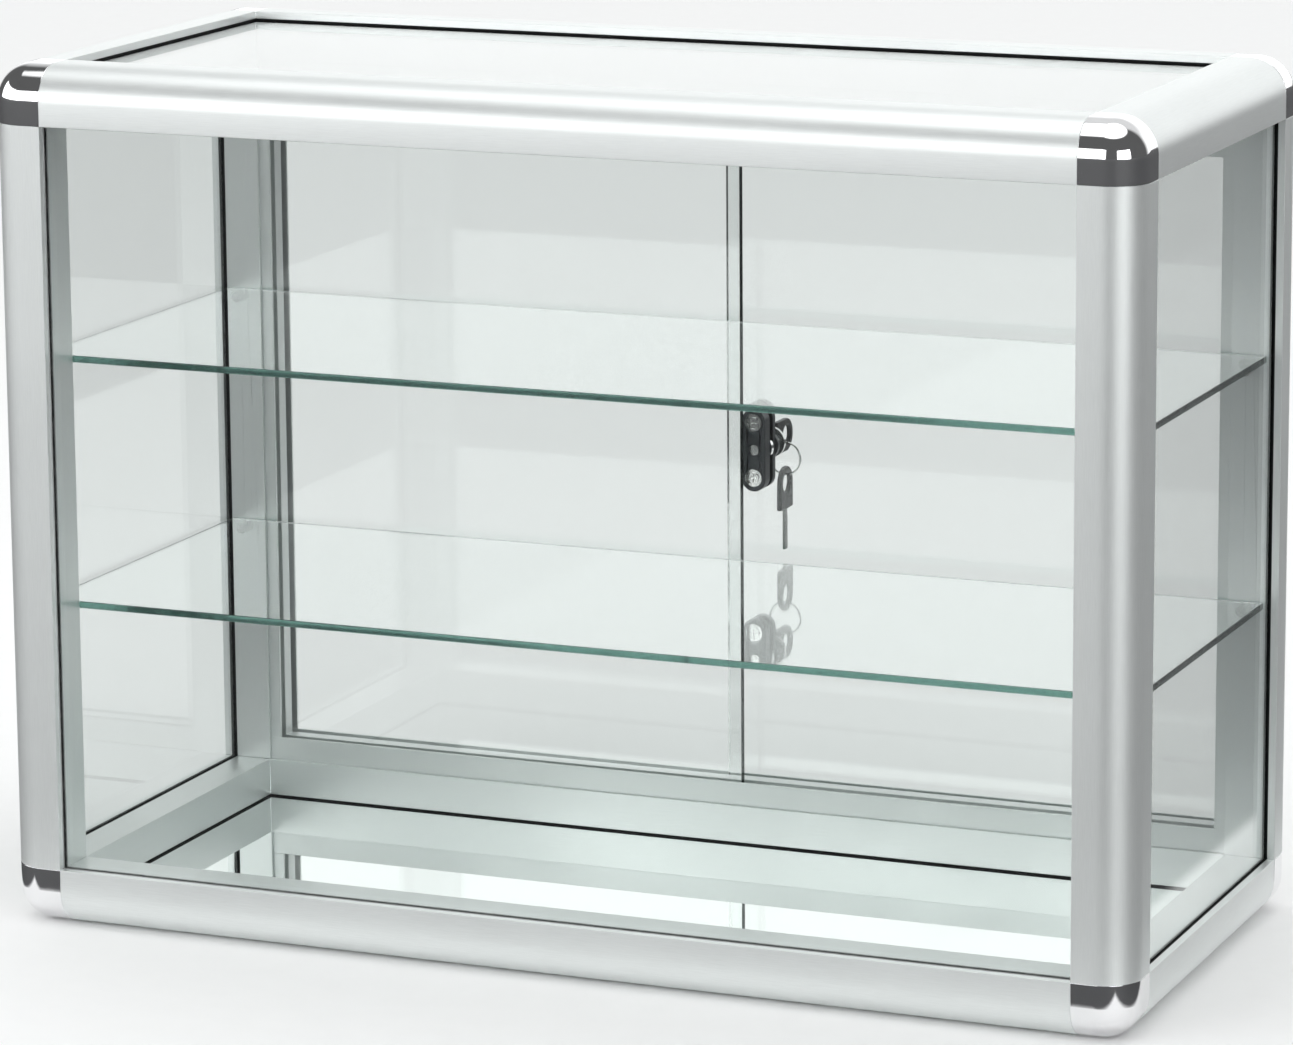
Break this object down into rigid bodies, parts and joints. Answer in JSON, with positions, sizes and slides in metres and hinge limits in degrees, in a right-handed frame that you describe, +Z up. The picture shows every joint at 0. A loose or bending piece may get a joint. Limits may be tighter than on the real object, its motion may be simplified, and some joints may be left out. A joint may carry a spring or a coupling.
{
  "type": "display showcase",
  "caption": "Countertop glass display case with rounded aluminium frame, chromed corner caps, glass shelves, mirror deck and lockable sliding rear doors.",
  "frame": {"origin": "on the underside, halfway along the width, and halfway between the front face and the rear end of the key in the lock", "axes": "+X to the right as seen from the customer's side, -Y towards the customer, +Z up"},
  "size_m": [0.68, 0.3476, 0.5],
  "materials": {
    "satin_aluminium": "satin, fine brushed grain along each length",
    "chrome_cap": "polished",
    "insert_plastic": "moulded",
    "clear_glass": "clear float glass, green at its edges",
    "shelf_glass": "clear, ground edges",
    "door_glass": "clear, ground edges",
    "mirror_deck": "silvered glass",
    "black_rubber": "matt extruded seal",
    "pile_strip": "short black pile",
    "track_aluminium": "satin extrusion",
    "nickel_pins": "nickel plated",
    "zinc_lock": "dark die-cast zinc",
    "bright_steel": "plated",
    "key_steel": "milled and plated",
    "key_plastic": "black moulded head"
  },
  "bodies": {
    "case": {"corner_bottom_front_left": "chrome_cap", "corner_bottom_front_right": "chrome_cap", "corner_bottom_rear_left": "chrome_cap", "corner_bottom_rear_right": "chrome_cap", "corner_inserts": "insert_plastic", "corner_top_front_left": "chrome_cap", "corner_top_front_right": "chrome_cap", "corner_top_rear_left": "chrome_cap", "corner_top_rear_right": "chrome_cap", "door_seals": "pile_strip", "glass_front": "clear_glass", "glass_left": "clear_glass", "glass_right": "clear_glass", "glass_top": "clear_glass", "jamb_left": "track_aluminium", "jamb_right": "track_aluminium", "mirror_deck": "mirror_deck", "post_front_left": "satin_aluminium", "post_front_right": "satin_aluminium", "post_rear_left": "satin_aluminium", "post_rear_right": "satin_aluminium", "rail_bottom_front": "satin_aluminium", "rail_bottom_left": "satin_aluminium", "rail_bottom_rear": "satin_aluminium", "rail_bottom_right": "satin_aluminium", "rail_top_front": "satin_aluminium", "rail_top_left": "satin_aluminium", "rail_top_rear": "satin_aluminium", "rail_top_right": "satin_aluminium", "seal_deck": "black_rubber", "seal_front": "black_rubber", "seal_left": "black_rubber", "seal_right": "black_rubber", "seal_top": "black_rubber", "shelf_lower": "shelf_glass", "shelf_lower_pins": "nickel_pins", "shelf_upper": "shelf_glass", "shelf_upper_pins": "nickel_pins", "track_bottom": "track_aluminium", "track_top": "track_aluminium"},
    "left_door": {"door_left_glass": "door_glass"},
    "right_door": {"door_right_glass": "door_glass", "lock_plate": "zinc_lock", "lock_pads": "black_rubber", "lock_housing": "zinc_lock", "lock_screws": "bright_steel"},
    "lock_barrel": {"lock_barrel": "bright_steel"},
    "key": {"lock_plug": "bright_steel", "key_blade": "key_steel", "key_head": "key_plastic"},
    "key_ring": {"key_ring": "bright_steel"},
    "spare_key": {"spare_key_blade": "key_steel", "spare_key_head": "key_plastic"}
  },
  "joints": [
    {"name": "left_door_slide", "type": "slide", "parent": "case", "child": "left_door", "axis": [-1, 0, 0], "range_m": [-0.2952, 0]},
    {"name": "right_door_slide", "type": "slide", "parent": "case", "child": "right_door", "axis": [1, 0, 0], "range_m": [-0.2952, 0]},
    {"name": "lock_push", "type": "slide", "parent": "right_door", "child": "lock_barrel", "axis": [0, -1, 0], "range_m": [0, 0.007]},
    {"name": "key_turn", "type": "hinge", "parent": "lock_barrel", "child": "key", "pos_m": [0.0125, 0.1478, 0.25], "axis": [0, 1, 0], "range_deg": [0, 90]},
    {"name": "ring_swing", "type": "hinge", "parent": "key", "child": "key_ring", "pos_m": [0.0125, 0.1638, 0.2419], "axis": [0, 1, 0], "range_deg": [-90, 90]},
    {"name": "spare_key_swing", "type": "hinge", "parent": "key_ring", "child": "spare_key", "pos_m": [0.0125, 0.1638, 0.2255], "axis": [1, 0, 0], "range_deg": [-35, 35]}
  ]
}
